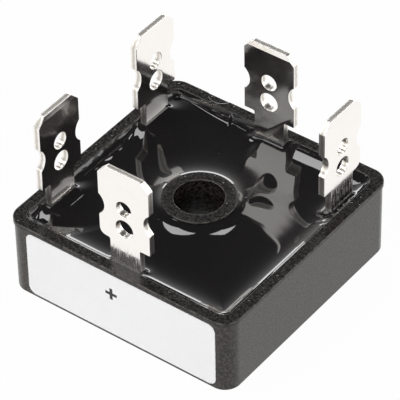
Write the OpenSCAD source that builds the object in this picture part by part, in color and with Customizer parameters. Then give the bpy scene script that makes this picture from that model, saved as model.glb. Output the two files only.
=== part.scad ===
// Three-phase bridge rectifier in a square potted case with a screw hole through the middle and
// five push-on blade terminals. Millimetres, +Z up. The origin is the centre of the face that lies
// on the heat sink. The labelled side faces -Y, the positive blade stands at -Y, the negative at +Y.

/* [Case] */
// Width and depth of the case over the lip round its mouth
body_w = 28.5; // [24:0.1:34]
// Height of the case from the heat sink to the rim
body_h = 9.25; // [8:0.05:12]
// Radius of the vertical corners at the lip
corner_r = 2.0; // [1.4:0.1:2.6]
// How far the lip stands out of the walls
lip_out = 0.13; // [0.05:0.01:0.3]
// Height of the lip
lip_h = 0.6; // [0.3:0.05:1.2]
// Thickness of the side walls under the lip
wall_t = 1.18; // [1:0.02:1.6]
// Radius of the cavity's vertical corners
cavity_r = 1.1; // [0.8:0.05:1.6]
// Chamfer that breaks the rim's two edges
rim_break = 0.12; // [0.05:0.01:0.25]

/* [Centre boss] */
// Hole for the fixing screw
bore_d = 5.4; // [4.2:0.1:6.5]
// Wall of the boss round the hole
boss_wall = 1.34; // [1:0.02:2]
// Chamfer on the boss's outer top edge
boss_break = 0.15; // [0.05:0.01:0.3]

/* [Webs] */
// Thickness of the four webs that carry the boss
web_t = 1.0; // [0.6:0.1:1.6]
// Height of the webs' lower edge
web_z = 4.6; // [4.4:0.1:5.4]
// Height of the webs
web_h = 2.6; // [1.5:0.1:3]

/* [Ejector marks] */
// Diameter of the ejector pins that marked the rim
pin_d = 3.0; // [2:0.1:4]
// Distance of the marks from the middle of their side
pin_x = 8.0; // [6:0.1:10]
// How far outside the lip the pins' centres lie
pin_out = 0.55; // [0.3:0.05:1]
// Depth of the marks
pin_sink = 0.06; // [0.03:0.01:0.12]

/* [Base plate] */
// Thickness of the metal plate under the circuit
plate_t = 1.0; // [0.8:0.1:1.6]
// Wall left outside the plate's recess
recess_wall = 0.85; // [0.6:0.05:1]
// Radius of the plate's corners
plate_r = 1.0; // [0.6:0.1:1.6]
// Glue gap between plate and recess
plate_gap = 0.05; // [0.03:0.01:0.15]
// Gap between the boss and the parts that it passes through
boss_gap = 0.1; // [0.05:0.05:0.3]

/* [Circuit] */
// Thickness of the ceramic insulator
ceramic_t = 0.63; // [0.38:0.01:1]
// Radius of the ceramic's corners
ceramic_r = 0.6; // [0.2:0.1:1]
// Distance from the ceramic's edge to the cavity wall
ceramic_margin = 0.74; // [0.4:0.02:1.2]
// Distance from the copper's edge to the ceramic's edge
copper_margin = 0.6; // [0.3:0.05:1]
// Thickness of the two copper tracks
copper_t = 0.3; // [0.2:0.05:0.5]
// Width of the tracks along the front and the back
track_w = 5.4; // [5:0.1:6]
// Side of a diode chip
die_w = 3.8; // [3:0.1:4]
// Thickness of a diode chip with its solder
die_t = 0.35; // [0.25:0.05:0.6]
// Copper left round the outer chips
die_edge = 0.4; // [0.2:0.05:0.6]
// Copper left outside the chip between the front corner and the middle
lane_edge = 1.0; // [0.6:0.05:1.4]
// Thickness of the copper straps on the chips
strap_t = 0.4; // [0.3:0.05:0.6]
// Width of the strap that passes between chip and boss
strap_neck = 1.4; // [1:0.1:1.6]
// Space between conductors that must not touch
creep = 0.5; // [0.4:0.05:0.8]
// Distance from the middle to the chips beside the blades
die_y = 8.0; // [7.6:0.1:8.4]
// Distance from the middle to the chip beside the boss
die_mid_y = 2.7; // [2.4:0.1:3.4]

/* [Potting] */
// Depth of the potting's level below the rim
pot_drop = 0.8; // [0.6:0.05:1.4]
// How far it creeps up the walls and the boss
creep_up = 0.5; // [0.2:0.05:0.7]
// How far from the walls the creep begins
creep_in = 1.5; // [0.8:0.05:1.7]
// How far it creeps up the blades
foot_up = 0.4; // [0.15:0.05:0.5]
// How far from the blades that creep begins
foot_in = 1.0; // [0.5:0.05:1.1]

/* [Blades] */
// Width of a blade
tab_w = 6.35; // [4.8:0.05:6.5]
// Thickness of a blade
tab_t = 0.8; // [0.5:0.05:1]
// Height of the blades' tips above the heat sink
tab_top = 21.2; // [19:0.1:25]
// Length of the wide part, from the shoulders to the tip
blade_l = 9.15; // [8.4:0.05:10]
// Width of the neck under the shoulders
neck_w = 3.8; // [3:0.05:4.2]
// Corner chamfer at the tip
tip_cut = 1.0; // [0.5:0.05:1.5]
// Length of the coined lead-in at the tip
lead_l = 0.55; // [0.3:0.05:1]
// Depth of the coined lead-in on each face
lead_d = 0.11; // [0.05:0.01:0.2]
// Diameter of the upper hole
hole_up_d = 1.9; // [1.4:0.1:2.2]
// Diameter of the lower hole
hole_low_d = 2.2; // [1.4:0.1:2.4]
// Distance from the tip to the upper hole
hole_up = 4.55; // [4.1:0.05:4.8]
// Distance between the two holes
hole_step = 2.6; // [2.5:0.05:3]
// Distance from the tip to the side notches
notch_at = 5.24; // [4.8:0.02:5.6]
// Length of a side notch along the edge
notch_l = 2.75; // [2:0.05:3]
// Depth of a side notch
notch_d = 0.7; // [0.3:0.05:0.8]
// Radius of the worn shoulder on two of the blades
soft_r = 0.95; // [0.6:0.05:1.1]
// Fillet between neck and shoulder
neck_r = 0.25; // [0.1:0.05:0.35]
// Inside radius of the bend at a blade's foot
bend_r = 0.5; // [0.3:0.05:0.8]
// Length of a foot from the blade's outer face
foot_l = 3.75; // [3:0.05:4]

/* [Blade places] */
// Distance of the front and back blades' middle plane from the lip
inset_y = 1.95; // [1.85:0.05:2.6]
// Distance of the side blades' middle plane from the lip
inset_x = 2.3; // [2.1:0.05:2.8]
// Sideways place of the front and back blades
mid_x = 0.25; // [-0.5:0.05:0.5]
// Distance of the side blades from the middle
side_y = 8.0; // [7.6:0.1:8.2]

/* [Label] */
// Width of the label
label_w = 24.1; // [16:0.1:24.4]
// Distance from the label's lower edge to the heat sink
label_low = 0.4; // [0.2:0.05:1]
// Distance from the label's upper edge to the lip
label_gap = 0.08; // [0.05:0.01:0.5]
// Sideways place of the label
label_x = 0.45; // [-0.6:0.05:0.6]
// Radius of the label's corners
label_r = 0.9; // [0.4:0.1:1.5]
// Thickness of the label
label_t = 0.08; // [0.05:0.01:0.12]

/* [Hidden] */
$fn = 64;
e = 0.01;
wall_w = body_w - 2 * lip_out;
wall_r = corner_r - lip_out;
cavity_w = wall_w - 2 * wall_t;
recess_w = wall_w - 2 * recess_wall;
plate_w = recess_w - 2 * plate_gap;
boss_d = bore_d + 2 * boss_wall;
through_d = boss_d + 2 * boss_gap;
// the webs end inside the rounded corners of the wall
web_l = sqrt(2) * (cavity_w / 2 - cavity_r) + cavity_r + wall_t / 2;
// levels of the stacked circuit
ceramic_w = cavity_w - 2 * ceramic_margin;
ceramic_z = plate_t;
copper_z = ceramic_z + ceramic_t;
die_z = copper_z + copper_t;
strap_z = die_z + die_t;
strap_top = strap_z + strap_t;
copper_x = ceramic_w / 2 - copper_margin;
// the chips keep to the track's outer edge, the passing strap runs between the middle chip and the boss
die_x = copper_x - die_edge - die_w / 2;
inner_x = die_x - die_w / 2 - creep;
lane_die_x = inner_x - die_w / 2;
lane_die_y = copper_x - lane_edge - die_w / 2;
// blades: middle planes, shoulder height and notch circle
plane_y = body_w / 2 - inset_y;
plane_x = body_w / 2 - inset_x;
shoulder_z = tab_top - blade_l;
notch_r = (notch_l * notch_l / 4 + notch_d * notch_d) / (2 * notch_d);
label_h = body_h - lip_h - label_gap - label_low;
pot_z = body_h - pot_drop;
// the flat pool ends under the creep, and the creep's solids start below the pool's level
pool_w = cavity_w - 2 * creep_in * 0.8;
creep_root = 0.3;
// concave creep profile, as shares of its reach and of its climb
climb = [[0, 1], [0.08, 0.8], [0.2, 0.58], [0.36, 0.36], [0.56, 0.17], [0.78, 0.05], [1, 0]];

// square with round corners
module rounded(w, r) {
    square([w - 2 * r, w], center = true);
    square([w, w - 2 * r], center = true);
    for (x = [-1, 1], y = [-1, 1]) translate([x * (w / 2 - r), y * (w / 2 - r)]) circle(r);
}

// prism of that square between two heights
module slab(w, r, z0, z1) {
    translate([0, 0, z0]) linear_extrude(z1 - z0) rounded(w, r);
}

// ring of triangular section that breaks an edge of a rounded square; s is 1 for the edge of a
// block and -1 for the edge of a cavity
module edge_break(w, r, c, z, s) {
    p = [[s * e, z - c], [s * e, z + e], [-s * (c + e), z + e]];
    for (a = [0:90:270]) rotate(a) {
        translate([w / 2, 0, 0]) rotate([90, 0, 0])
            linear_extrude(w - 2 * r + 2 * e, center = true) polygon(p);
        translate([w / 2 - r, w / 2 - r, 0]) rotate_extrude(angle = 90)
            polygon([for (q = p) [r + q[0], q[1]]]);
    }
}

// thin webs from the boss to the corners, buried in the potting
module webs() {
    for (a = [45:90:315]) rotate(a)
        translate([bore_d / 2 + boss_wall / 2, -web_t / 2, web_z])
            cube([web_l - bore_d / 2 - boss_wall / 2, web_t, web_h]);
}

// moulded shell: walls with a lip, a recess for the plate, the webs and the boss
module case() color("#232122") {
    difference() {
        union() {
            difference() {
                union() {
                    slab(wall_w, wall_r, 0, body_h);
                    slab(body_w, corner_r, body_h - lip_h, body_h);
                }
                slab(cavity_w, cavity_r, plate_t, body_h + 1);
                slab(recess_w, plate_r + plate_gap, -1, plate_t);
                edge_break(body_w, corner_r, rim_break, body_h, 1);
                for (x = [-1, 1], y = [-1, 1])
                    translate([x * pin_x, y * (body_w / 2 + pin_out), body_h - pin_sink])
                        cylinder(d = pin_d, h = 1);
            }
            webs();
            cylinder(d = boss_d, h = body_h);
        }
        translate([0, 0, -1]) cylinder(d = bore_d, h = body_h + 2);
        rotate_extrude() polygon([
            [boss_d / 2 - boss_break, body_h + e], [boss_d / 2 + 1, body_h + e],
            [boss_d / 2 + 1, body_h - boss_break - 1], [boss_d / 2 + e, body_h - boss_break]]);
    }
}

// plate that carries the heat to the sink
module base_plate() color("#b9b8b4") {
    difference() {
        slab(plate_w, plate_r, 0, plate_t);
        translate([0, 0, -1]) cylinder(d = through_d, h = plate_t + 2);
    }
}

// insulating ceramic under the tracks
module ceramic() color("#ece9e0") {
    difference() {
        slab(ceramic_w, ceramic_r, ceramic_z, copper_z);
        cylinder(d = through_d, h = copper_z + 1);
    }
}

// positive track along the front, under the three chips that face it with their cathodes
module track_plus() color("#b4704a")
    translate([-copper_x, -copper_x, copper_z]) cube([2 * copper_x, track_w, copper_t]);

// negative track along the back, with a tongue under the chip beside the boss
module track_minus() color("#b4704a") translate([0, 0, copper_z]) {
    linear_extrude(copper_t) polygon([
        [-copper_x, copper_x], [copper_x, copper_x], [copper_x, copper_x - track_w],
        [-inner_x - creep / 2, copper_x - track_w], [-inner_x - creep / 2, die_mid_y - die_w / 2 - die_edge],
        [-copper_x, die_mid_y - die_w / 2 - die_edge]]);
}

// one glass-passivated chip
module die(x, y) color("#5c6068")
    translate([x - die_w / 2, y - die_w / 2, die_z]) cube([die_w, die_w, die_t]);
module die_plus_1() die(-die_x, -die_y);
module die_plus_2() die(-lane_die_x, -lane_die_y);
module die_plus_3() die(die_x, -die_y);
module die_minus_1() die(-die_x, die_mid_y);
module die_minus_2() die(-die_x, die_y);
module die_minus_3() die(die_x, die_y);

// strap on two chips in line, from y0 to y1
module strap(x, y0, y1) color("#c07a50")
    translate([x - die_w / 2, y0 - die_w / 2, strap_z]) cube([die_w, y1 - y0 + die_w, strap_t]);
module strap_ac_1() strap(-die_x, -die_y, die_mid_y);
module strap_ac_3() strap(die_x, -die_y, die_y);
// strap that steps inward past the middle chip
module strap_ac_2() color("#c07a50") translate([0, 0, strap_z]) linear_extrude(strap_t) {
    translate([-die_x - die_w / 2, die_y - die_w / 2]) square([die_w + creep + strap_neck, die_w]);
    translate([-inner_x, -lane_die_y - die_w / 2]) square([strap_neck, lane_die_y + die_y + die_w]);
    translate([-lane_die_x - die_w / 2, -lane_die_y - die_w / 2]) square(die_w);
}

// blade outline seen from its outer side, with holes, notches and shoulders
module blade_outline(soft) {
    difference() {
        union() {
            polygon([[-tab_w / 2, shoulder_z], [tab_w / 2, shoulder_z],
                     [tab_w / 2, tab_top - tip_cut], [tab_w / 2 - tip_cut, tab_top],
                     [-tab_w / 2 + tip_cut, tab_top], [-tab_w / 2, tab_top - tip_cut]]);
            for (s = [-1, 1]) difference() {
                translate([s * neck_w / 2 - (s < 0 ? neck_r : 0), shoulder_z - neck_r])
                    square([neck_r, neck_r + e]);
                translate([s * (neck_w / 2 + neck_r), shoulder_z - neck_r]) circle(neck_r);
            }
        }
        for (s = [-1, 1])
            translate([s * (tab_w / 2 + notch_r - notch_d), tab_top - notch_at]) circle(notch_r);
        translate([0, tab_top - hole_up]) circle(d = hole_up_d);
        translate([0, tab_top - hole_up - hole_step]) circle(d = hole_low_d);
        if (soft != 0) difference() {
            translate([soft > 0 ? tab_w / 2 - soft_r : -tab_w / 2 - e, shoulder_z - e]) square(soft_r + e);
            translate([soft * (tab_w / 2 - soft_r), shoulder_z + soft_r]) circle(soft_r);
        }
    }
}

// neck, bend and foot; the outer face is at y = 0 and the foot runs to +y at height z
module root(z) {
    translate([-neck_w / 2, 0, z + tab_t + bend_r])
        cube([neck_w, tab_t, shoulder_z - z - tab_t - bend_r + e]);
    translate([-neck_w / 2, 0, 0]) rotate([90, 0, 90]) linear_extrude(neck_w) {
        translate([tab_t + bend_r, z]) square([foot_l - tab_t - bend_r, tab_t]);
        translate([tab_t + bend_r, z + tab_t + bend_r]) intersection() {
            difference() { circle(tab_t + bend_r); circle(bend_r); }
            translate([-tab_t - bend_r, -tab_t - bend_r]) square(tab_t + bend_r);
        }
    }
}

// stamped and folded terminal
module terminal(z, soft) color("#cfccc6") {
    difference() {
        union() {
            translate([0, tab_t, 0]) rotate([90, 0, 0]) linear_extrude(tab_t) blade_outline(soft);
            root(z);
        }
        for (s = [0, 1]) translate([0, s * tab_t, 0]) mirror([0, s, 0])
            translate([-tab_w, 0, 0]) rotate([90, 0, 90]) linear_extrude(2 * tab_w)
                polygon([[-1, tab_top - lead_l], [0, tab_top - lead_l], [lead_d, tab_top],
                         [lead_d, tab_top + 1], [-1, tab_top + 1]]);
    }
}

// place on a side: 0 front, 1 right, 2 back, 3 left, at the offset d along it
module on_side(side, d) {
    reach = (side % 2 == 0 ? plane_y : plane_x) + tab_t / 2;
    rotate(90 * side) translate([d, -reach, 0]) children();
}
module terminal_plus() on_side(0, mid_x) terminal(die_z, -1);
module terminal_minus() on_side(2, -mid_x) terminal(die_z, 0);
module terminal_ac_1() on_side(3, side_y) terminal(strap_top, 0);
module terminal_ac_2() on_side(3, -side_y) terminal(strap_top, 0);
module terminal_ac_3() on_side(1, side_y) terminal(strap_top, 1);

// roots of all five, as the potting grips them
module roots() {
    on_side(0, mid_x) root(die_z);
    on_side(2, -mid_x) root(die_z);
    on_side(3, side_y) root(strap_top);
    on_side(3, -side_y) root(strap_top);
    on_side(1, side_y) root(strap_top);
}

// section of the creep, from the wall at x = 0 outward and from the depth given to the climb
function creep_section(reach, up, depth) = concat(
    [[0, -depth], [reach, -depth]],
    [for (i = [len(climb) - 1:-1:0]) [climb[i][0] * reach, climb[i][1] * up]]);

// resin along the walls, which creeps up them
module wall_creep() {
    p = creep_section(creep_in, creep_up, pot_z - plate_t);
    for (a = [0:90:270]) rotate(a) translate([0, 0, pot_z]) {
        translate([cavity_w / 2, 0, 0]) rotate([90, 0, 0])
            linear_extrude(cavity_w - 2 * cavity_r, center = true) mirror([1, 0]) polygon(p);
        translate([cavity_w / 2 - cavity_r, cavity_w / 2 - cavity_r, 0]) rotate_extrude(angle = 90)
            polygon([for (q = p) [max(0, cavity_r - q[0]), q[1]]]);
    }
}

// creep round the boss
module boss_creep() translate([0, 0, pot_z]) rotate_extrude()
    translate([boss_d / 2 - e, 0]) polygon(creep_section(creep_in, creep_up, creep_root));

// creep round a blade's neck, which stands at y = 0 to tab_t
module foot_creep() translate([0, tab_t / 2, pot_z]) {
    p = creep_section(foot_in, foot_up, creep_root);
    for (s = [0, 1]) rotate(180 * s) {
        translate([neck_w / 2, 0, 0]) rotate([90, 0, 0]) linear_extrude(tab_t, center = true) polygon(p);
        translate([0, tab_t / 2, 0]) rotate([90, 0, 90]) linear_extrude(neck_w, center = true) polygon(p);
        translate([neck_w / 2, tab_t / 2, 0]) rotate_extrude(angle = 90) polygon(p);
        translate([-neck_w / 2, tab_t / 2, 0]) rotate(90) rotate_extrude(angle = 90) polygon(p);
    }
}

// cast resin that fills the cavity round the boss, the webs and the circuit
module potting() color("#121012") {
    difference() {
        union() {
            translate([-pool_w / 2, -pool_w / 2, plate_t]) cube([pool_w, pool_w, pot_z - plate_t]);
            wall_creep();
            boss_creep();
            intersection() {
                translate([-cavity_w / 2, -cavity_w / 2, 0]) cube([cavity_w, cavity_w, body_h]);
                union() {
                    on_side(0, mid_x) foot_creep();
                    on_side(2, -mid_x) foot_creep();
                    on_side(3, side_y) foot_creep();
                    on_side(3, -side_y) foot_creep();
                    on_side(1, side_y) foot_creep();
                }
            }
        }
        cylinder(d = boss_d, h = body_h + 1);
        webs();
        ceramic();
        track_plus();
        track_minus();
        die_plus_1();
        die_plus_2();
        die_plus_3();
        die_minus_1();
        die_minus_2();
        die_minus_3();
        strap_ac_1();
        strap_ac_2();
        strap_ac_3();
        roots();
    }
}

// paper label on the front wall
module label() color("#f2f2f2")
    translate([label_x, -wall_w / 2, label_low + label_h / 2]) rotate([90, 0, 0]) linear_extrude(label_t) {
        square([label_w - 2 * label_r, label_h], center = true);
        square([label_w, label_h - 2 * label_r], center = true);
        for (x = [-1, 1], y = [-1, 1])
            translate([x * (label_w / 2 - label_r), y * (label_h / 2 - label_r)]) circle(label_r);
    }

case();
base_plate();
ceramic();
track_plus();
track_minus();
die_plus_1();
die_plus_2();
die_plus_3();
die_minus_1();
die_minus_2();
die_minus_3();
strap_ac_1();
strap_ac_2();
strap_ac_3();
terminal_plus();
terminal_minus();
terminal_ac_1();
terminal_ac_2();
terminal_ac_3();
potting();
label();
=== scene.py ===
"""A square potted three-phase bridge rectifier with five push-on blades, built up from its base plate."""

import bpy
import numpy as np
from mathutils import Matrix, Vector
from mathutils.geometry import tessellate_polygon


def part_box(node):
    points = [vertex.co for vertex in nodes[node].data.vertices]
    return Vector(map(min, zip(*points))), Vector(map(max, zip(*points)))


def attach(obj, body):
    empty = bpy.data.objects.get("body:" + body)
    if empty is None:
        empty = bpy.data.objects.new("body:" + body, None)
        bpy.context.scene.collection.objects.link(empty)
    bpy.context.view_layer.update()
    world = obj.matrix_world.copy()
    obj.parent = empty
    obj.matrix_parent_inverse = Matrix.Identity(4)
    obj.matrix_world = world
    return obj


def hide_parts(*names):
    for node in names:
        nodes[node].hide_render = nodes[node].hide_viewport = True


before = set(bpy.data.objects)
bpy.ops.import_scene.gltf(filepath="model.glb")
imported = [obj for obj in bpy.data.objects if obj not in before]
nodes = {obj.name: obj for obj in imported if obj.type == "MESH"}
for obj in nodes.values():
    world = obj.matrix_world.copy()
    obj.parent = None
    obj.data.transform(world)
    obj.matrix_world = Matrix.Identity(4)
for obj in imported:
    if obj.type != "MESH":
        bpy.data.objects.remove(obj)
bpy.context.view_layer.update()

# ---- Base plate ------------------------------------------------------------------------------
# A square of cold-rolled sheet, nickel plated, glued into the case's recess to carry the heat.
# Rolling leaves fine parallel lines, so the sheet looks satin along them and dull across.
MM = 0.001


def linear(code):
    """Linear RGBA of an sRGB hex colour: c / 12.92 up to 0.04045, above it ((c + 0.055) / 1.055) ^ 2.4."""
    rgb = [int(code[i:i + 2], 16) / 255 for i in (1, 3, 5)]
    return [c / 12.92 if c <= 0.04045 else ((c + 0.055) / 1.055) ** 2.4 for c in rgb] + [1.0]


def add(tree, kind, inputs=None, output=0, **settings):
    """Adds a shader node and returns one of its outputs. settings are its properties, and inputs its
    sockets: each a value, or another node's output, which is linked."""
    node = tree.nodes.new("ShaderNode" + kind)
    for name, value in settings.items():
        setattr(node, name, value)
    for socket, value in (inputs or {}).items():
        if isinstance(value, bpy.types.NodeSocket):
            tree.links.new(value, node.inputs[socket])
        else:
            node.inputs[socket].default_value = value
    return node.outputs[output] if node.outputs else node


def finish(name):
    """An empty node material, with its tree and the object coordinates, which run in metres."""
    material = bpy.data.materials.new(name)
    material.use_nodes = True
    material.node_tree.nodes.clear()
    return material, material.node_tree, add(material.node_tree, "TexCoord", output="Object")


def dress(node, material):
    """Puts the material on a CAD node."""
    nodes[node].data.materials.clear()
    nodes[node].data.materials.append(material)


# Real roll lines are finer than this, and are drawn at 0.12 mm so that they show. Along them the
# sheet mirrors a soft streak, and the stains are where the plating has dulled.
rolled, tree, place = finish("nickel-plated rolled sheet")
along = add(tree, "Mapping", {"Vector": place, "Scale": (1 / 30, 1, 1)})
lines = add(tree, "TexNoise", {"Vector": along, "Scale": 1 / (0.12 * MM), "Detail": 3.0})
stains = add(tree, "TexNoise", {"Vector": place, "Scale": 1 / (5 * MM), "Detail": 3.0})
tone = add(tree, "Mix", {0: stains, 6: linear("#c3bfb7"), 7: linear("#aea99f")}, 2, data_type="RGBA")
satin = add(tree, "MapRange", {"Value": lines, "From Min": 0.3, "From Max": 0.7, "To Min": 0.28, "To Max": 0.42})
ridges = add(tree, "Bump", {"Height": lines, "Distance": 0.006 * MM})
look = add(tree, "BsdfPrincipled", {"Base Color": tone, "Metallic": 1.0, "Roughness": satin, "Normal": ridges})
add(tree, "OutputMaterial", {"Surface": look})
dress("base_plate", rolled)

# ---- Circuit ---------------------------------------------------------------------------------
# Under the resin, on the plate: an alumina tile, copper tracks soldered to it, six glass-passivated
# silicon chips and the copper straps that join them. Fired, etched and stamped, they are all matt.

# Fired alumina is a dense cream ceramic with a fine grit, so it has no gloss at all.
alumina, tree, place = finish("fired alumina")
cloud = add(tree, "TexNoise", {"Vector": place, "Scale": 1 / (0.5 * MM), "Detail": 4.0})
tone = add(tree, "Mix", {0: cloud, 6: linear("#ece8dd"), 7: linear("#dcd7ca")}, 2, data_type="RGBA")
grit = add(tree, "TexNoise", {"Vector": place, "Scale": 1 / (0.08 * MM)})
skin = add(tree, "Bump", {"Height": grit, "Distance": 0.004 * MM})
look = add(tree, "BsdfPrincipled", {"Base Color": tone, "Roughness": 0.62, "Normal": skin})
add(tree, "OutputMaterial", {"Surface": look})
dress("ceramic", alumina)

# Etched copper is salmon where it is clean and brown where soldering heat has tarnished it.
copper, tree, place = finish("etched copper")
tarnish = add(tree, "TexNoise", {"Vector": place, "Scale": 1 / (1.5 * MM), "Detail": 4.0})
tone = add(tree, "Mix", {0: tarnish, 6: linear("#c98b66"), 7: linear("#a7613f")}, 2, data_type="RGBA")
blotch = add(tree, "TexNoise", {"Vector": place, "Scale": 1 / (0.6 * MM)})
satin = add(tree, "MapRange", {"Value": blotch, "From Min": 0.3, "From Max": 0.7, "To Min": 0.3, "To Max": 0.45})
grit = add(tree, "TexNoise", {"Vector": place, "Scale": 1 / (0.1 * MM)})
skin = add(tree, "Bump", {"Height": grit, "Distance": 0.004 * MM})
look = add(tree, "BsdfPrincipled", {"Base Color": tone, "Metallic": 1.0, "Roughness": satin, "Normal": skin})
add(tree, "OutputMaterial", {"Surface": look})
for part in ["track_plus", "track_minus", "strap_ac_1", "strap_ac_2", "strap_ac_3"]:
    dress(part, copper)

# The glass over the silicon is clear and smooth, and lets the blue-grey chip show through.
silicon, tree, place = finish("glass-passivated silicon")
film = add(tree, "TexNoise", {"Vector": place, "Scale": 1 / (0.4 * MM), "Detail": 3.0})
tone = add(tree, "Mix", {0: film, 6: linear("#565b66"), 7: linear("#3c404a")}, 2, data_type="RGBA")
glassy = add(tree, "MapRange", {"Value": film, "From Min": 0.3, "From Max": 0.7, "To Min": 0.2, "To Max": 0.3})
look = add(tree, "BsdfPrincipled", {"Base Color": tone, "Roughness": glassy, "IOR": 1.6})
add(tree, "OutputMaterial", {"Surface": look})
for side in ["plus", "minus"]:
    for number in [1, 2, 3]:
        dress(f"die_{side}_{number}", silicon)

# ---- Blades ----------------------------------------------------------------------------------
# Stamped from 0.8 mm copper strip, coined at the tip, folded at the foot and nickel plated.
# The punch rounds every edge a little, and the plating is bright, with faint draw lines that run
# up the blade, more of them at the neck where the folding die held it.
THICK, FOOT, BEND = 0.8 * MM, 3.75 * MM, 0.5 * MM
SHOULDER, NECK_HALF, NECK_FILLET = 9.15 * MM, 1.9 * MM, 0.25 * MM
TIP_CUT, COIN_LONG, COIN_DEEP = 1.0 * MM, 0.55 * MM, 0.11 * MM
NOTCH_AT, NOTCH_LONG, NOTCH_DEEP = 5.24 * MM, 2.75 * MM, 0.7 * MM
HOLES = ((4.55 * MM, 0.95 * MM), (7.15 * MM, 1.1 * MM))
EDGE_ROUND, SHARP_CORNER, WORN_CORNER = 0.055 * MM, 0.09 * MM, 0.95 * MM
NOTCH_EASE, TIP_EASE = 0.06 * MM, 0.12 * MM
NECK_CUT = 10.6 * MM
SCORED_TOP, SCORED_FADE = 12.6 * MM, 2.2 * MM
ROUND_STEPS, HOLE_STEPS = 5, 96

# Bright nickel mirrors the room with a warm tint. Real draw lines are finer, and are drawn at
# 0.12 mm so that they show: they stand upright in the sheet's own place, and on the neck they are
# deep and rough enough to blur what it mirrors into grey streaks.
nickel, tree, place = finish("bright nickel plate on copper")
sheet_place = add(tree, "UVMap", uv_map="sheet")
along = add(tree, "Mapping", {"Vector": sheet_place, "Scale": (1, 1 / 20, 1)})
lines = add(tree, "TexNoise", {"Vector": along, "Scale": 1 / (0.12 * MM), "Detail": 2.0})
held = add(tree, "Attribute", output="Fac", attribute_name="held")
patchy = add(tree, "TexNoise", {"Vector": place, "Scale": 1 / (0.9 * MM), "Detail": 3.0})
patchy = add(tree, "MapRange", {"Value": patchy, "From Min": 0.38, "From Max": 0.62, "To Min": 0.3, "To Max": 1.0})
scored = add(tree, "MapRange", {"Value": lines, "From Min": 0.42, "From Max": 0.62})
scored = add(tree, "Math", {0: scored, 1: patchy}, operation="MULTIPLY")
scored = add(tree, "Math", {0: scored, 1: held}, operation="MULTIPLY")

# Round the stamped edges the punch tore a band through the middle of the sheet, where brown
# copper shows between the two plated faces.
edge = add(tree, "Attribute", output="Fac", attribute_name="cut")
edge = add(tree, "MapRange", {"Value": edge, "From Min": 0.6, "From Max": 0.9})
depth = add(tree, "Attribute", output="Fac", attribute_name="depth")
off_middle = add(tree, "Math", {0: depth, 1: 0.5}, operation="SUBTRACT")
off_middle = add(tree, "Math", {0: off_middle}, operation="ABSOLUTE")
ragged = add(tree, "TexNoise", {"Vector": place, "Scale": 1 / (0.3 * MM), "Detail": 2.0})
off_middle = add(tree, "Math", {0: ragged, 1: 0.35, 2: off_middle}, operation="MULTIPLY_ADD")
torn = add(tree, "MapRange", {"Value": off_middle, "From Min": 0.32, "From Max": 0.42, "To Min": 0.45, "To Max": 0.0})
torn = add(tree, "Math", {0: torn, 1: edge}, operation="MULTIPLY")

face = add(tree, "Math", {0: 1.0, 1: edge}, operation="SUBTRACT")
line_share = add(tree, "MapRange", {"Value": held, "To Min": 0.06, "To Max": 1.0})
line_share = add(tree, "Math", {0: line_share, 1: face}, operation="MULTIPLY")
line_height = add(tree, "Math", {0: lines, 1: line_share}, operation="MULTIPLY")
waves = add(tree, "TexNoise", {"Vector": place, "Scale": 1 / (2.2 * MM), "Detail": 1.0})
swell = add(tree, "Bump", {"Height": waves, "Distance": 0.012 * MM})
skin = add(tree, "Bump", {"Height": line_height, "Distance": 0.005 * MM, "Normal": swell})
clouds = add(tree, "TexNoise", {"Vector": place, "Scale": 1 / (1.8 * MM), "Detail": 4.0})
tone = add(tree, "Mix", {0: clouds, 6: linear("#fefbf8"), 7: linear("#f7f3ed")}, 2, data_type="RGBA")
tone = add(tree, "Mix", {0: torn, 6: tone, 7: linear("#86775c")}, 2, data_type="RGBA")
dull = add(tree, "Math", {0: edge, 1: 0.6}, operation="MULTIPLY")
dull = add(tree, "Math", {0: dull, 1: scored}, operation="MAXIMUM")
satin = add(tree, "MapRange", {"Value": dull, "To Min": 0.1, "To Max": 0.45})
look = add(tree, "BsdfPrincipled", {"Base Color": tone, "Metallic": 1.0, "Roughness": satin, "Normal": skin})
add(tree, "OutputMaterial", {"Surface": look})


def rounded(profile, steps=ROUND_STEPS):
    """A profile with its corners rounded: each point is (..., reach), and a corner becomes the
    parabola that leaves one side at that reach from the corner and joins the next at the same reach."""
    profile = np.array(profile, float)
    points, reach = profile[:, :-1], profile[:, -1]
    before, after = np.roll(points, 1, 0) - points, np.roll(points, -1, 0) - points
    unit = [d / np.linalg.norm(d, axis=1)[:, None] * reach[:, None] for d in (before, after)]
    t = np.linspace(0, 1, steps)[:, None, None]
    curve = (1 - t) ** 2 * (points + unit[0]) + 2 * t * (1 - t) * points + t ** 2 * (points + unit[1])
    return curve.transpose(1, 0, 2).reshape(-1, points.shape[1])


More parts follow.
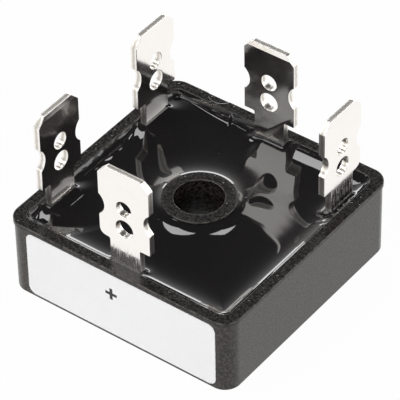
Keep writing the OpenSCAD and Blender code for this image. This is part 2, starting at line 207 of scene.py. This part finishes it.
def outline(half, tip, worn):
    """The blade's edge from the neck's right foot over the tip to its left foot, as (across, height).
    worn is the shoulder that the press left round: 1 the right one, -1 the left one, 0 neither.

    A notch is the arc through its two ends whose middle lies its depth inside the edge: its radius is
    (length^2 / 4 + depth^2) / (2 depth)."""
    shoulder, notch = tip - SHOULDER, tip - NOTCH_AT
    radius = (NOTCH_LONG ** 2 / 4 + NOTCH_DEEP ** 2) / (2 * NOTCH_DEEP)
    sweep = np.linspace(-1, 1, 19) * np.arcsin(NOTCH_LONG / 2 / radius)
    inward = half + radius - NOTCH_DEEP - radius * np.cos(sweep)
    arc = np.stack([inward, notch + radius * np.sin(sweep), 0 * sweep], -1)
    arc[[0, -1], 2] = NOTCH_EASE
    side = [(NECK_HALF, NECK_CUT, 0), (NECK_HALF, shoulder, NECK_FILLET), (half, shoulder, SHARP_CORNER), *arc,
            (half, tip - TIP_CUT, TIP_EASE), (half - TIP_CUT + COIN_LONG, tip - COIN_LONG, 0),
            (half - TIP_CUT, tip, TIP_EASE)]
    left = [(-x, z, reach) for x, z, reach in side[::-1]]
    path = np.array(side + left)
    path[2 if worn > 0 else -3, 2] = WORN_CORNER if worn else SHARP_CORNER
    path = rounded(path, 8)
    return path[np.r_[True, np.linalg.norm(np.diff(path, axis=0), axis=1) > 1e-8]]


def rim_rows(path, closed):
    """The stamped edge along a path: at each point a quarter circle off one face, straight through the
    sheet, and a quarter circle onto the other. At a corner the inset grows by 1 / cos of half its
    turn, up to 1 / 0.6. Returns points and normals as (across, depth, height)."""
    ahead, behind = np.roll(path, -1, 0) - path, path - np.roll(path, 1, 0)
    if not closed:
        ahead[-1], behind[0] = behind[-1], ahead[0]
    ahead, behind = [d / np.linalg.norm(d, axis=1)[:, None] for d in (ahead, behind)]
    along = ahead + behind
    along /= np.linalg.norm(along, axis=1)[:, None]
    out = np.stack([along[:, 1], -along[:, 0]], -1)
    reach = 1 / np.maximum((along * ahead).sum(1), 0.6)[:, None]
    turn = np.linspace(0, np.pi / 2, ROUND_STEPS)
    inset = EDGE_ROUND * (1 - np.sin(turn))
    depth = EDGE_ROUND * (1 - np.cos(turn))
    inset, depth = np.r_[inset, inset[::-1]], np.r_[depth, THICK - depth[::-1]]
    out_share, in_share = np.r_[np.sin(turn), np.sin(turn)[::-1]], np.r_[-np.cos(turn), np.cos(turn)[::-1]]
    flat = path[None] - inset[:, None, None] * (out * reach)[None]
    points = np.stack([flat[..., 0], depth[:, None] + 0 * flat[..., 0], flat[..., 1]], -1)
    face_out = out_share[:, None, None] * out[None]
    normals = np.stack([face_out[..., 0], in_share[:, None] + 0 * flat[..., 0], face_out[..., 1]], -1)
    return points, normals


def quads(rows, columns, close_rows=False, close_columns=True):
    """Faces of a grid of points, whose columns and rows may close into rings."""
    row, column = np.meshgrid(np.arange(rows if close_rows else rows - 1),
                              np.arange(columns if close_columns else columns - 1), indexing="ij")
    above, beside = (row + 1) % rows, (column + 1) % columns
    corners = [row * columns + column, row * columns + beside, above * columns + beside, above * columns + column]
    return np.stack(corners, -1).reshape(-1, 4)


def filled(points, loops):
    """Triangles that fill the first loop of a flat face except for the other loops."""
    lines = [[Vector((points[i, 0], points[i, 2], 0)) for i in loop] for loop in loops]
    index = np.concatenate(loops)
    return index[np.array(tessellate_polygon(lines))]


def stamped_blade(half, tip, foot, worn):
    """A blade as (across, depth, height): its edge, its two holes' walls, its two faces, each with a
    coined end that narrows by a straight slope, and its neck, bend and foot, a section carried down,
    round a quarter circle and inward. Returns its points, its faces, the normal at each face's
    corners, and for each point how far it faces along the sheet and its share of the thickness."""
    path = outline(half, tip, worn)
    edge, edge_normals = rim_rows(path, False)
    rows, count = edge.shape[:2]
    points, normals, faces = [edge.reshape(-1, 3)], [edge_normals.reshape(-1, 3)], []
    walls = [quads(rows, count, close_columns=False)]
    first, hole_loops = rows * count, []
    for down, radius in HOLES:
        turn = np.linspace(0, -2 * np.pi, HOLE_STEPS, endpoint=False)
        ring = np.stack([radius * np.cos(turn), tip - down + radius * np.sin(turn)], -1)
        hole, hole_normals = rim_rows(ring, True)
        points.append(hole.reshape(-1, 3))
        normals.append(hole_normals.reshape(-1, 3))
        walls.append(first + quads(rows, HOLE_STEPS))
        hole_loops.append(first + np.arange(HOLE_STEPS))
        first += rows * HOLE_STEPS
    right, left = np.arange(rows) * count, np.arange(rows) * count + count - 1
    section = np.r_[right, left[::-1]]
    flat = np.concatenate(points)[section]
    flat_normals = np.concatenate(normals)[section]
    turn = np.linspace(0, np.pi / 2, 12)
    heel, around = foot + THICK + BEND, (THICK + BEND - flat[:, 1])
    bend = [(THICK + BEND - around * np.cos(a), heel - around * np.sin(a), a) for a in turn]
    end = (FOOT + 0 * around, bend[-1][1], np.pi / 2)
    rings = [np.stack([flat[:, 0], depth, height], -1) for depth, height, a in [*bend, end]]
    ring_normals = [np.stack([flat_normals[:, 0], flat_normals[:, 1] * np.cos(a), flat_normals[:, 1] * np.sin(a)], -1)
                    for depth, height, a in [*bend, end]]
    points += rings
    normals += ring_normals
    ring_index = np.stack([section] + [first + len(section) * i + np.arange(len(section)) for i in range(len(rings))])
    walls.append(ring_index.ravel()[quads(len(ring_index), len(section))])
    points, normals = np.concatenate(points), np.concatenate(normals)

    bounds = np.flatnonzero(np.abs(path[:, 1] - (tip - COIN_LONG)) < 1e-7)
    tip_loop = np.arange(bounds[0], bounds[-1] + 1)
    plate_loop = np.r_[np.arange(bounds[0] + 1), np.arange(bounds[-1], count)]
    slope = np.array([0, -COIN_LONG, COIN_DEEP]) / np.hypot(COIN_LONG, COIN_DEEP)
    groups = [(np.concatenate(walls), normals)]
    for back in (0, 1):
        shift = back * (rows - 1)
        flat_normal = np.array([0, 2 * back - 1, 0])
        coined_normal = slope * (1, 1 - 2 * back, 1)
        plate = filled(points, [plate_loop + shift * count] + [loop + shift * HOLE_STEPS for loop in hole_loops])
        coined = filled(points, [tip_loop + shift * count])
        groups += [(plate, flat_normal + 0 * points), (coined, coined_normal + 0 * points)]
    groups.append((ring_index[-1][None], np.array([0, 1, 0]) + 0 * points))

    middle = np.clip(points[:, 1] / THICK, 0, 1)
    narrow = np.clip((points[:, 2] - tip + COIN_LONG) / COIN_LONG, 0, 1) * COIN_DEEP / (THICK / 2)
    points[:, 1] = THICK / 2 + (points[:, 1] - THICK / 2) * (1 - narrow)
    polygons, corner_normals = [], []
    for group, group_normals in groups:
        place, facing = points[group], group_normals[group]
        area = np.cross(place[:, 1] - place[:, 0], place[:, 2] - place[:, 1])
        turned_in = (area * facing.mean(1)).sum(1) < 0
        group = np.where(turned_in[:, None], group[:, ::-1], group)
        polygons += group.tolist()
        corner_normals.append(group_normals[group].reshape(-1, 3))
    cut = np.hypot(normals[:, 0], normals[:, 2])
    return points, polygons, np.concatenate(corner_normals), cut, middle


def show(mesh, material, replaced):
    """Puts a piece in the scene, in place of its CAD node."""
    mesh.materials.append(material)
    mesh.shade_smooth()
    piece = bpy.data.objects.new(mesh.name, mesh)
    bpy.context.scene.collection.objects.link(piece)
    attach(piece, "root")
    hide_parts(replaced)
    return piece


# each blade's side, its worn shoulder, and how hard the folding die scored its neck
for pole, side, worn, scoring in (("plus", 0, -1, 1.0), ("ac_3", 1, 1, 1.0), ("minus", 2, 0, 0.15),
                                  ("ac_1", 3, 0, 0.6), ("ac_2", 3, 0, 0.2)):
    low, high = [np.array(corner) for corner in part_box(f"terminal_{pole}")]
    across = np.array([(1, 0, 0), (0, 1, 0), (-1, 0, 0), (0, -1, 0)][side])
    inward = np.array([(0, 1, 0), (-1, 0, 0), (0, -1, 0), (1, 0, 0)][side])
    frame_of_side = np.stack([across, inward, (0, 0, 1)])
    half = abs((high - low) @ across) / 2
    corner = (low + high) / 2 @ across * across + min(low @ inward, high @ inward) * inward
    points, polygons, corner_normals, cut, depth = stamped_blade(half, high[2], low[2], worn)
    mesh = bpy.data.meshes.new(f"blade_{pole}")
    mesh.from_pydata(points @ frame_of_side + corner, [], polygons)
    show(mesh, nickel, f"terminal_{pole}")
    mesh.normals_split_custom_set(corner_normals @ frame_of_side)
    held = scoring * np.clip((SCORED_TOP - points[:, 2]) / SCORED_FADE, 0, 1)
    for name, values in (("cut", cut), ("depth", depth), ("held", held)):
        mesh.attributes.new(name, "FLOAT", "POINT").data.foreach_set("value", values.astype(np.float32))
    flat = points[np.concatenate(polygons)][:, [0, 2]]
    mesh.uv_layers.new(name="sheet").uv.foreach_set("vector", flat.astype(np.float32).ravel())

# ---- Case ------------------------------------------------------------------------------------
# Injection moulded in glass-filled black polyester, with a lip round its mouth and a boss for the
# screw, which four webs carry. Fine matt all over, with small pits where fibres broke the skin,
# and the round marks of the ejector pins, which just catch the front and back rims.
case_top, resin_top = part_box("case")[1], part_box("potting")[1]
HALF, RIM = case_top.x, case_top.z
LIP, LIP_HEIGHT, LIP_CORNER = 0.13 * MM, 0.6 * MM, 2.0 * MM
CAVITY, CAVITY_CORNER = resin_top.x, 1.1 * MM
RECESS, RECESS_CORNER = HALF - LIP - 0.85 * MM, 1.05 * MM
PLATE_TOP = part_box("base_plate")[1].z
BORE, BOSS = 2.7 * MM, 4.04 * MM
MARK, MARK_SINK, MARK_EDGE = 1.5 * MM, 0.06 * MM, 0.09 * MM
MARK_X, MARK_OUT = 8.0 * MM, 0.55 * MM
SIDE_POINTS, CORNER_POINTS = 240, 36
RING_POINTS = 4 * (SIDE_POINTS + CORNER_POINTS)
RIM_ROWS, BOSS_STEPS, BOSS_POINTS, WEB_POINTS = 22, 6, 192, 8


def rounded_square(half, radius, side=SIDE_POINTS, corner=CORNER_POINTS):
    """Rings round squares with round corners, one for each half width and radius.

    Each quarter runs straight up the right side, then turns 90 degrees about a centre that lies
    the radius in from two sides; the other quarters are that one turned."""
    half, radius = np.asarray(half)[:, None], np.asarray(radius)[:, None]
    run = np.linspace(-1, 1, side, endpoint=False)[None]
    turn = np.linspace(0, np.pi / 2, corner, endpoint=False)[None]
    x = np.hstack([half + 0 * run, half - radius + radius * np.cos(turn)])
    y = np.hstack([(half - radius) * run, half - radius + radius * np.sin(turn)])
    quarters = [(x, y), (-y, x), (-x, -y), (y, -x)]
    return np.stack([np.hstack([q[0] for q in quarters]), np.hstack([q[1] for q in quarters])], -1)


def joined(name, *shells):
    """One mesh of several closed shells, each given as its points and its quads."""
    points, faces, first = [], [], 0
    for shell_points, shell_faces in shells:
        points.append(shell_points.reshape(-1, 3))
        faces.append(shell_faces + first)
        first += len(points[-1])
    mesh = bpy.data.meshes.new(name)
    mesh.from_pydata(np.concatenate(points), [], np.concatenate(faces))
    return mesh


def wall():
    """The shell: its section, from the heat sink up the outside, over the rim and down the inside to
    the plate's recess, carried round the case's square. Each point of the section is the half width
    and corner radius of its ring, its height, and the reach of the edge's rounding there."""
    skin, skin_corner = HALF - LIP, LIP_CORNER - LIP
    under_lip = RIM - LIP_HEIGHT
    section = [
        (skin, skin_corner, 0, 0.12 * MM), (skin, skin_corner, under_lip, 0.05 * MM),
        (HALF, LIP_CORNER, under_lip, 0.06 * MM), (HALF, LIP_CORNER, RIM, 0.14 * MM),
        (CAVITY, CAVITY_CORNER, RIM, 0.1 * MM), (CAVITY, CAVITY_CORNER, PLATE_TOP, 0.05 * MM),
        (RECESS, RECESS_CORNER, PLATE_TOP, 0.05 * MM), (RECESS, RECESS_CORNER, 0, 0.08 * MM)]
    line = rounded(section)
    outer_edge = 4 * ROUND_STEPS - 1
    across = np.linspace(0, 1, RIM_ROWS + 2)[1:-1, None]
    top_rows = line[outer_edge] * (1 - across) + line[outer_edge + 1] * across
    line = np.insert(line, outer_edge + 1, top_rows, axis=0)
    ring = rounded_square(line[:, 0], line[:, 1])
    z = line[:, 2][:, None] + 0 * ring[..., 0]
    for x in (-MARK_X, MARK_X):
        for y in (-HALF - MARK_OUT, HALF + MARK_OUT):
            distance = np.hypot(ring[..., 0] - x, ring[..., 1] - y)
            inside = np.clip((MARK - distance) / MARK_EDGE + 0.5, 0, 1)
            z = z - MARK_SINK * inside ** 2 * (3 - 2 * inside) * (z > RIM - 0.08 * MM)
    points = np.dstack([ring, z])
    return points, quads(len(line), ring.shape[1], close_rows=True)[:, ::-1]


def turned(section, around=BOSS_POINTS):
    """A section of (radius, height) points turned about the upright axis."""
    angle = np.linspace(0, 2 * np.pi, around, endpoint=False)[None]
    radius, height = section[:, :1], section[:, 1:]
    points = np.stack([radius * np.cos(angle), radius * np.sin(angle), height + 0 * angle], -1)
    return points, quads(len(section), around, close_rows=True)


def web(quarter):
    """One flat web from the boss to a corner of the case, buried in the resin."""
    start, end = (BORE + BOSS) / 2, np.sqrt(2) * (CAVITY - CAVITY_CORNER) + CAVITY_CORNER + 0.5 * MM
    low, high, thick = 4.6 * MM, 7.2 * MM, 0.5 * MM
    plan = ((start, -thick), (end, -thick), (end, thick), (start, thick))
    box = np.array([(x, y, z) for z in (low, high) for x, y in plan])
    turn = np.radians(45 + 90 * quarter)
    spin = np.array([[np.cos(turn), np.sin(turn), 0], [-np.sin(turn), np.cos(turn), 0], [0, 0, 1]])
    faces = np.array([(3, 2, 1, 0), (4, 5, 6, 7), (0, 1, 5, 4), (1, 2, 6, 5), (2, 3, 7, 6), (3, 0, 4, 7)])
    return box @ spin, faces


# The resin-rich skin is black and half matt. Glass fibres just under it show as a warm grey haze, and pale
# dust is scattered over it. The haze is painted in full on the walls and at a fifth on the rim and boss top:
# that difference is painted sheen, which makes the walls lighter than the top.
moulding, tree, place = finish("glass-filled polyester moulding")
haze = add(tree, "TexNoise", {"Vector": place, "Scale": 1 / (0.3 * MM), "Detail": 4.0})
haze_and_wall_sheen = add(tree, "MapRange", {"Value": haze, "From Min": 0.42, "From Max": 0.66})
mottle = add(tree, "TexNoise", {"Vector": place, "Scale": 1 / (2.5 * MM), "Detail": 4.0})
black = add(tree, "Mix", {0: mottle, 6: linear("#0a0909"), 7: linear("#131010")}, 2, data_type="RGBA")
height = add(tree, "SeparateXYZ", {"Vector": place}, "Z")
# painted sheen by height: the haze in full on the walls below 8.6 mm, down to 0.2 on the top above 9.1 mm
walls = {"Value": height, "From Min": 8.6 * MM, "From Max": 9.1 * MM, "To Min": 1.0, "To Max": 0.2}
walls = add(tree, "MapRange", walls)
haze_and_wall_sheen = add(tree, "Math", {0: haze_and_wall_sheen, 1: walls}, operation="MULTIPLY")
tone = add(tree, "Mix", {0: haze_and_wall_sheen, 6: black, 7: linear("#453e39")}, 2, data_type="RGBA")
# real dust is finer than this, and is drawn at 0.16 mm so that it shows
dust = add(tree, "TexNoise", {"Vector": place, "Scale": 1 / (0.16 * MM), "Detail": 1.0})
dusty = add(tree, "MapRange", {"Value": dust, "From Min": 0.6, "From Max": 0.72})
tone = add(tree, "Mix", {0: dusty, 6: tone, 7: linear("#514b47")}, 2, data_type="RGBA")
# painted highlight: the lip and the rim's and boss's round edges are made lighter grey, broken up by a 0.5 mm noise
edge_highlight = add(tree, "Attribute", output="Fac", attribute_name="edge_highlight")
edge_highlight_breaks = add(tree, "TexNoise", {"Vector": place, "Scale": 1 / (0.5 * MM), "Detail": 3.0})
edge_highlight_breaks = add(tree, "MapRange", {"Value": edge_highlight_breaks, "From Min": 0.35, "From Max": 0.6})
highlit_edges = add(tree, "Math", {0: edge_highlight, 1: edge_highlight_breaks}, operation="MULTIPLY")
tone = add(tree, "Mix", {0: highlit_edges, 6: tone, 7: linear("#6b6560")}, 2, data_type="RGBA")
satin = add(tree, "MapRange", {"Value": haze, "From Min": 0.35, "From Max": 0.65, "To Min": 0.2, "To Max": 0.36})
pits = add(tree, "TexVoronoi", {"Vector": place, "Scale": 1 / (0.8 * MM)})
pits = add(tree, "MapRange", {"Value": pits, "From Min": 0.06, "From Max": 0.16})
pitted = add(tree, "Bump", {"Height": pits, "Distance": 0.03 * MM})
skin = add(tree, "Bump", {"Height": haze, "Distance": 0.012 * MM, "Normal": pitted})
look = add(tree, "BsdfPrincipled", {"Base Color": tone, "Roughness": satin, "IOR": 1.45, "Normal": skin})
add(tree, "OutputMaterial", {"Surface": look})

boss_section = rounded([
    (BORE, 0, 0.1 * MM), (BOSS, 0, 0.1 * MM), (BOSS, RIM, 0.13 * MM), (BORE, RIM, 0.1 * MM)], BOSS_STEPS)
case = show(joined("moulded_case", wall(), turned(boss_section), *[web(q) for q in range(4)]),
            moulding, "case")

# painted highlight along the lip, the rim's two edges and the boss's two edges, in lighter grey: 1 in the middle of
# each
wall_edge_highlight = np.zeros((8, ROUND_STEPS))
wall_edge_highlight[2:5] = np.sin(np.linspace(0, np.pi, ROUND_STEPS))
wall_edge_highlight = np.insert(wall_edge_highlight.ravel(), 4 * ROUND_STEPS, np.zeros(RIM_ROWS))
boss_edge_highlight = np.zeros((4, BOSS_STEPS))
boss_edge_highlight[2:4] = np.sin(np.linspace(0, np.pi, BOSS_STEPS))
edge_highlight = np.concatenate([
    np.repeat(wall_edge_highlight, RING_POINTS), np.repeat(boss_edge_highlight, BOSS_POINTS), np.zeros(4 * WEB_POINTS)])
case.data.attributes.new("edge_highlight", "FLOAT", "POINT").data.foreach_set("value", edge_highlight.astype(np.float32))

# ---- Resin -----------------------------------------------------------------------------------
# Black epoxy, poured in and cured in an oven. It shrinks to a glossy skin with a slow swell, climbs
# the walls, the boss and the blades in a hollow curve, and keeps a few ripples and specks.
POOL, CLEAR_OF_RIM = 8.38 * MM, 0.06 * MM
ROWS, JOIN_POWER = 126, 3
WALL_RISE, NECK_RISE = 0.8 * MM, 0.7 * MM
BOSS_CREEP = (0.6 * MM, 0.75 * MM, 2.4 * MM)
FOLD_AT, FOLD_SPAN, FOLD_REACH = 6.6 * MM, 2.2 * MM, 0.8 * MM
FOLD_HIGH, FOLD_STEP, FOLD_LEAN = 0.06 * MM, 0.95 * MM, 0.6
# The creep's two reaches, in mm: on the wall by bearing from the middle, in degrees, and on each
# neck. The wall's is short at the back left, where it ends in two arcs, uneven on the left, where
# the resin was poured last, and broad beside the back blade.
WALL_REACH = [
    (-180, 0.42, 0.9), (-131, 0.3, 0.8), (-122, 0.8, 2.5), (45, 0.8, 2.5), (52, 1.3, 2.6), (91, 1.3, 2.6),
    (97, 0.5, 0.6), (112, 0.2, 0.25), (113, 0.5, 0.6), (132, 0.15, 0.25), (140, 0.3, 0.8), (180, 0.42, 0.9)]
NECK_CREEP = {"plus": (0.3, 0.8), "minus": (0.25, 0.6), "ac_1": (0.8, 2.0), "ac_2": (1.0, 2.4), "ac_3": (0.35, 0.9)}
# the uneven stretch starts at this bearing either way; its waves as share, waves a turn, and shift
UNEVEN_FROM, UNEVEN_FADE = 128, 8
WAVES = ((0.22, 13, 0.5), (0.12, 37, 0.0))


def climb(distance, height, near, far):
    """Height of the creep at a distance from what it climbs: 0.6 of it falls off by a steep
    exponential, whose reach is near, and 0.4 by a long one, whose reach is far."""
    return height * (0.6 * np.exp(-distance / near) + 0.4 * np.exp(-distance / far))


def neck_boxes():
    """Middle and half sizes of each blade's neck where it leaves the resin, and its creep's two reaches."""
    sides = (("plus", 1, -1), ("minus", 1, 1), ("ac_1", 0, -1), ("ac_2", 0, -1), ("ac_3", 0, 1))
    for pole, along_x, outward in sides:
        low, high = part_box(f"terminal_{pole}")
        edge = (high if outward > 0 else low)[along_x] - outward * THICK / 2
        middle = (low[1 - along_x] + high[1 - along_x]) / 2
        box = ((middle, edge), (NECK_HALF, THICK / 2)) if along_x else ((edge, middle), (THICK / 2, NECK_HALF))
        yield *box, NECK_CREEP[pole]


def pool_height(x, y):
    """Level of the resin: the creeps on the wall, boss and necks joined as a soft maximum. On the left
    and at the back left the wall's creep waves, as two sines of the bearing, and in the right corner
    the skin is folded, as a sine that dies away from the wall."""
    corner = CAVITY - CAVITY_CORNER
    qx, qy = np.abs(x) - corner, np.abs(y) - corner
    outside = np.hypot(np.maximum(qx, 0), np.maximum(qy, 0)) + np.minimum(np.maximum(qx, qy), 0)
    bearing = np.degrees(np.arctan2(y, x))
    angles, near, far = np.transpose(WALL_REACH)
    near, far = np.interp(bearing, angles, near) * MM, np.interp(bearing, angles, far) * MM
    uneven = np.clip((np.abs(bearing) - UNEVEN_FROM) / UNEVEN_FADE, 0, 1)
    near *= 1 + uneven * sum(share * np.sin(np.radians(bearing) * count + shift) for share, count, shift in WAVES)
    rises = [climb(np.maximum(CAVITY_CORNER - outside, 0), WALL_RISE, near, far),
             climb(np.maximum(np.hypot(x, y) - BOSS, 0), *BOSS_CREEP)]
    for (cx, cy), (hx, hy), (neck_near, neck_far) in neck_boxes():
        away = np.hypot(np.maximum(np.abs(x - cx) - hx, 0), np.maximum(np.abs(y - cy) - hy, 0))
        rises.append(climb(away, NECK_RISE, neck_near * MM, neck_far * MM))
    rise = sum(r ** JOIN_POWER for r in rises) ** (1 / JOIN_POWER)
    folds = np.exp(-((CAVITY - x) / FOLD_REACH) ** 2 - ((y - FOLD_AT) / FOLD_SPAN) ** 4)
    rise += FOLD_HIGH * folds * np.sin(2 * np.pi * (y - FOLD_LEAN * x) / FOLD_STEP)
    return POOL + np.minimum(rise, RIM - POOL - CLEAR_OF_RIM)


def pool():
    """The block of resin: rings from the boss to the wall, closer at both ends, then down and back."""
    outer = rounded_square([CAVITY], [CAVITY_CORNER], 150, 30)[0]
    turn = np.arctan2(outer[:, 1], outer[:, 0])
    inner = BOSS * np.stack([np.cos(turn), np.sin(turn)], -1)
    share = (0.5 - 0.5 * np.cos(np.linspace(0, np.pi, ROWS)))[:, None, None]
    flat = inner * (1 - share) + outer * share
    top = np.dstack([flat, pool_height(flat[..., 0], flat[..., 1])])
    floor = np.full(outer.shape[:1] + (1,), PLATE_TOP)
    foot = np.stack([np.hstack([outer, floor]), np.hstack([inner, floor])])
    points = np.concatenate([top, foot])
    return points, quads(len(points), len(outer), close_rows=True)[:, ::-1]


# Cured epoxy is as smooth as glass and mirrors the blades and lamps, except at its dull specks.
epoxy, tree, place = finish("cast black epoxy")
slow = add(tree, "TexNoise", {"Vector": place, "Scale": 1 / (4 * MM), "Detail": 1.0})
swell = add(tree, "Bump", {"Height": slow, "Distance": 0.02 * MM})
specks = add(tree, "TexVoronoi", {"Vector": place, "Scale": 1 / (2.2 * MM)})
specks = add(tree, "MapRange", {"Value": specks, "From Min": 0.02, "From Max": 0.05, "To Min": 1.0, "To Max": 0.0})
tone = add(tree, "Mix", {0: specks, 6: linear("#201e1f"), 7: linear("#3a3737")}, 2, data_type="RGBA")
glossy = add(tree, "MapRange", {"Value": specks, "To Min": 0.035, "To Max": 0.3})
look = add(tree, "BsdfPrincipled", {"Base Color": tone, "Roughness": glossy, "IOR": 1.55, "Normal": swell})
add(tree, "OutputMaterial", {"Surface": look})
show(joined("cast_resin", pool()), epoxy, "potting")

# ---- Label -----------------------------------------------------------------------------------
# Coated white paper with round corners, stuck on the front wall. The only print on it is the
# polarity mark of the blade above it.
label_low, label_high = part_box("label")
LABEL_CORNER, SOFT = 0.9 * MM, 0.02 * MM
PLUS_X, PLUS_Z, PLUS_ARM, PLUS_STROKE = -0.6 * MM, 5.95 * MM, 0.74 * MM, 0.19 * MM

# The coating makes the paper white and even, with a hint of its fibres, drawn ten times too coarse,
# at 0.3 mm, so that they show. The plus is two bars: inside the stroke one way, inside the arm the other.
paper, tree, place = finish("coated white paper")
axes = add(tree, "SeparateXYZ", {"Vector": place}).node.outputs
across = add(tree, "Math", {0: axes["X"], 1: PLUS_X}, operation="SUBTRACT")
across = add(tree, "Math", {0: across}, operation="ABSOLUTE")
upward = add(tree, "Math", {0: axes["Z"], 1: PLUS_Z}, operation="SUBTRACT")
upward = add(tree, "Math", {0: upward}, operation="ABSOLUTE")
short = add(tree, "Math", {0: across, 1: upward}, operation="MINIMUM")
long = add(tree, "Math", {0: across, 1: upward}, operation="MAXIMUM")
edges = [{"Value": away, "From Min": size - SOFT, "From Max": size + SOFT, "To Min": 1.0, "To Max": 0.0}
         for away, size in ((short, PLUS_STROKE), (long, PLUS_ARM))]
bar, end = [add(tree, "MapRange", edge) for edge in edges]
ink = add(tree, "Math", {0: bar, 1: end}, operation="MULTIPLY")
fibres = add(tree, "TexNoise", {"Vector": place, "Scale": 1 / (0.3 * MM), "Detail": 4.0})
tone = add(tree, "Mix", {0: fibres, 6: linear("#ffffff"), 7: linear("#f8f8f9")}, 2, data_type="RGBA")
tone = add(tree, "Mix", {0: ink, 6: tone, 7: linear("#141414")}, 2, data_type="RGBA")
skin = add(tree, "Bump", {"Height": fibres, "Distance": 0.003 * MM})
look = add(tree, "BsdfPrincipled", {"Base Color": tone, "Roughness": 0.5, "Normal": skin})
add(tree, "OutputMaterial", {"Surface": look})


def sheet():
    """A thin plate: its round-cornered outline, set in by a round edge, at the back and at the front."""
    width, height = label_high.x - label_low.x, label_high.z - label_low.z
    middle = ((label_low.x + label_high.x) / 2, (label_low.z + label_high.z) / 2)
    turn = np.linspace(0, np.pi / 2, 12)
    rings = []
    for inset, depth in ((0, label_high.y), (0, label_low.y + SOFT), (SOFT, label_low.y)):
        centre = np.array([width / 2 - LABEL_CORNER, height / 2 - LABEL_CORNER])
        arc = (LABEL_CORNER - inset) * np.stack([np.cos(turn), np.sin(turn)], -1) + centre
        ring = np.concatenate([arc, (arc * (-1, 1))[::-1], -arc, (arc * (1, -1))[::-1]]) + middle
        rings.append(np.insert(ring, 1, depth, axis=1))
    count = len(rings[0])
    faces = quads(3, count).tolist() + [list(range(count))[::-1], list(range(2 * count, 3 * count))]
    mesh = bpy.data.meshes.new("paper_label")
    mesh.from_pydata(np.concatenate(rings), [], faces)
    return mesh


label = show(sheet(), paper, "label")
label.data.shade_flat()

# ---- Studio ----------------------------------------------------------------------------------
# The rectifier lies on a white sweep. Two small softboxes hang over it, two large ones stand in front,
# and low strips light it from behind and from the right. Above the sweep the room darkens, so that
# the resin and the nickel have something dark to mirror.
SWEEP = 1.5

floor_mesh = bpy.data.meshes.new("sweep")
corners = [(-SWEEP, -SWEEP, 0), (SWEEP, -SWEEP, 0), (SWEEP, SWEEP, 0), (-SWEEP, SWEEP, 0)]
floor_mesh.from_pydata(corners, [], [(0, 1, 2, 3)])
# Seen straight or in a mirror the paper is plain white, but for the small share that is left to
# the matt paper, where the rectifier's shadow shows. To every other ray it is matt paper.
white, tree, place = finish("white paper sweep")
rays = add(tree, "LightPath").node.outputs
seen = add(tree, "Math", {0: rays["Is Camera Ray"], 1: rays["Is Glossy Ray"]}, operation="MAXIMUM")
seen = add(tree, "Math", {0: seen, 1: rays["Is Transmission Ray"]}, operation="MAXIMUM")
share = add(tree, "Math", {0: seen, 1: 0.975}, operation="MULTIPLY")
fibres = add(tree, "TexNoise", {"Vector": place, "Scale": 1 / (2 * MM), "Detail": 3.0})
tone = add(tree, "Mix", {0: fibres, 6: linear("#f6f6f6"), 7: linear("#efefef")}, 2, data_type="RGBA")
matt = add(tree, "BsdfDiffuse", {"Color": tone})
glow = add(tree, "Emission", {"Color": (1, 1, 1, 1), "Strength": 1.0})
mixed = add(tree, "MixShader", {0: share, 1: matt, 2: glow})
add(tree, "OutputMaterial", {"Surface": mixed})
floor_mesh.materials.append(white)
floor = bpy.data.objects.new("sweep", floor_mesh)
bpy.context.scene.collection.objects.link(floor)

world = bpy.data.worlds.new("studio")
bpy.context.scene.world = world
world.use_nodes = True
tree = world.node_tree
tree.nodes.clear()
up = add(tree, "SeparateXYZ", {"Vector": add(tree, "TexCoord", output="Generated")}, "Z")
dim = {"Value": up, "From Min": 0.25, "From Max": 0.66, "To Min": 1.0, "To Max": 0.07}
dim = add(tree, "MapRange", dim, interpolation_type="SMOOTHSTEP")
room = add(tree, "Background", {"Color": (1, 1, 1, 1), "Strength": dim})
backdrop = add(tree, "Background", {"Color": (1, 1, 1, 1), "Strength": 1.0})
sky = add(tree, "MixShader", {0: add(tree, "LightPath", output="Is Camera Ray"), 1: room, 2: backdrop})
add(tree, "OutputWorld", {"Surface": sky})


def softbox(name, direction, distance, width, height, radiance):
    """A rectangular lamp that faces the resin from a direction and a distance, all in metres; its power
    is pi times its area times its radiance."""
    lamp = bpy.data.lights.new(name, "AREA")
    lamp.shape = "RECTANGLE"
    lamp.size, lamp.size_y = width, height
    lamp.energy = np.pi * width * height * radiance
    piece = bpy.data.objects.new(name, lamp)
    piece.location = Vector(direction).normalized() * distance + Vector((0, 0, POOL))
    piece.rotation_euler = Vector(direction).to_track_quat("Z", "Y").to_euler()
    piece.visible_camera = False
    bpy.context.scene.collection.objects.link(piece)


softbox("overhead", (-0.42, 0.28, 0.87), 0.6, 0.12, 0.14, 6.8)
softbox("overhead_right", (-0.23, 0.49, 0.84), 0.6, 0.06, 0.09, 6.8)
softbox("front_fill", (0.15, -0.93, 0.33), 0.8, 0.6, 0.3, 2.3)
softbox("front_left", (-0.37, -0.509, 0.777), 0.7, 0.45, 0.26, 3.3)
softbox("back_strip", (-0.47, 0.87, 0.14), 0.8, 0.9, 0.14, 4.5)
softbox("right_strip", (0.7, 0.6, 0.36), 0.8, 0.3, 0.34, 2.6)

# a long lens looks down from the front right; its turn, rise and roll place it round the target
VIEW_TURN, VIEW_RISE, VIEW_ROLL = np.radians(37.66), np.radians(41.21), np.radians(-1.24)
VIEW_DISTANCE = 0.3306
target = Vector((-0.46 * MM, 0.7 * MM, 8.1 * MM))
away = Vector((np.sin(VIEW_TURN) * np.cos(VIEW_RISE), -np.cos(VIEW_TURN) * np.cos(VIEW_RISE), np.sin(VIEW_RISE)))
lens = bpy.data.cameras.new("camera")
lens.sensor_width = 36
lens.lens = 287.2
camera = bpy.data.objects.new("camera", lens)
level = away.to_track_quat("Z", "Y").to_matrix().to_4x4()
camera.matrix_world = Matrix.Translation(target + away * VIEW_DISTANCE) @ level @ Matrix.Rotation(VIEW_ROLL, 4, "Z")
bpy.context.scene.collection.objects.link(camera)
bpy.context.scene.camera = camera
bpy.context.scene.view_settings.view_transform = "Standard"
